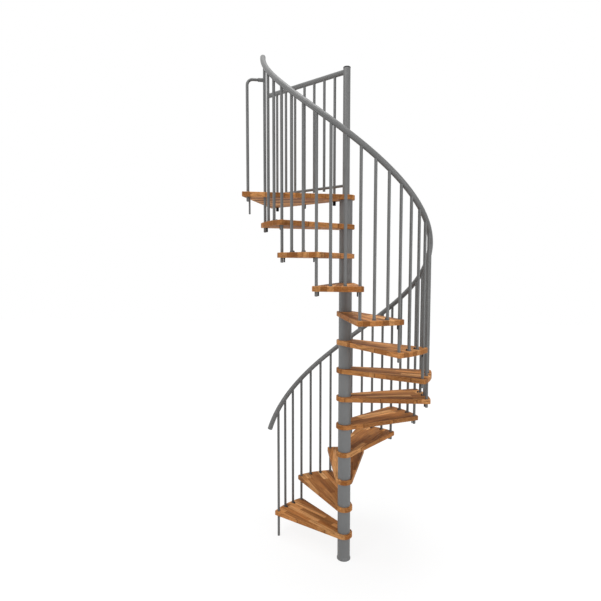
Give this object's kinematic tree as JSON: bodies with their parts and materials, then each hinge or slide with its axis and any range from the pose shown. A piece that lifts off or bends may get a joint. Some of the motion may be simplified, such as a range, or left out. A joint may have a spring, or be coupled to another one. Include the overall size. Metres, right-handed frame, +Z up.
{
  "type": "spiral staircase",
  "caption": "Spiral staircase of wedge timber treads threaded on a steel column, with round balusters, a helical handrail and a railed landing.",
  "frame": {"origin": "on the column's axis, on the flat underside of its foot at floor level", "axes": "+Z up along the column, +Y away from the viewer's side, +X to the viewer's right"},
  "size_m": [1.3426, 1.2559, 3.739],
  "materials": {
    "grey_metal": "satin grey powder coat",
    "oiled_wood": "oiled laminated hardwood",
    "dark_fitting": "dark grey moulded plastic"
  },
  "bodies": {
    "root": {"column_foot": "grey_metal", "centre_pole": "grey_metal", "spacer_01": "grey_metal", "spacer_02": "grey_metal", "spacer_03": "grey_metal", "spacer_04": "grey_metal", "spacer_05": "grey_metal", "spacer_06": "grey_metal", "spacer_07": "grey_metal", "spacer_08": "grey_metal", "spacer_09": "grey_metal", "spacer_10": "grey_metal", "spacer_11": "grey_metal", "spacer_12": "grey_metal", "spacer_13": "grey_metal", "stair_balusters_lower": "grey_metal", "stair_balusters_middle": "grey_metal", "stair_balusters_upper": "grey_metal", "handrail": "grey_metal", "landing_top_rail": "grey_metal", "landing_balusters": "grey_metal", "landing_bottom_bar": "grey_metal", "hook_rod": "grey_metal", "hook_clamp": "grey_metal", "fixing_rod": "grey_metal", "baluster_end_sleeves": "grey_metal", "handrail_end_caps": "grey_metal", "tread_01": "oiled_wood", "tread_02": "oiled_wood", "tread_03": "oiled_wood", "tread_04": "oiled_wood", "tread_05": "oiled_wood", "tread_06": "oiled_wood", "tread_07": "oiled_wood", "tread_08": "oiled_wood", "tread_09": "oiled_wood", "tread_10": "oiled_wood", "tread_11": "oiled_wood", "tread_12": "oiled_wood", "landing_platform": "oiled_wood", "post_cap": "dark_fitting", "baluster_ferrules": "dark_fitting", "landing_end_sleeves": "dark_fitting"}
  },
  "joints": []
}
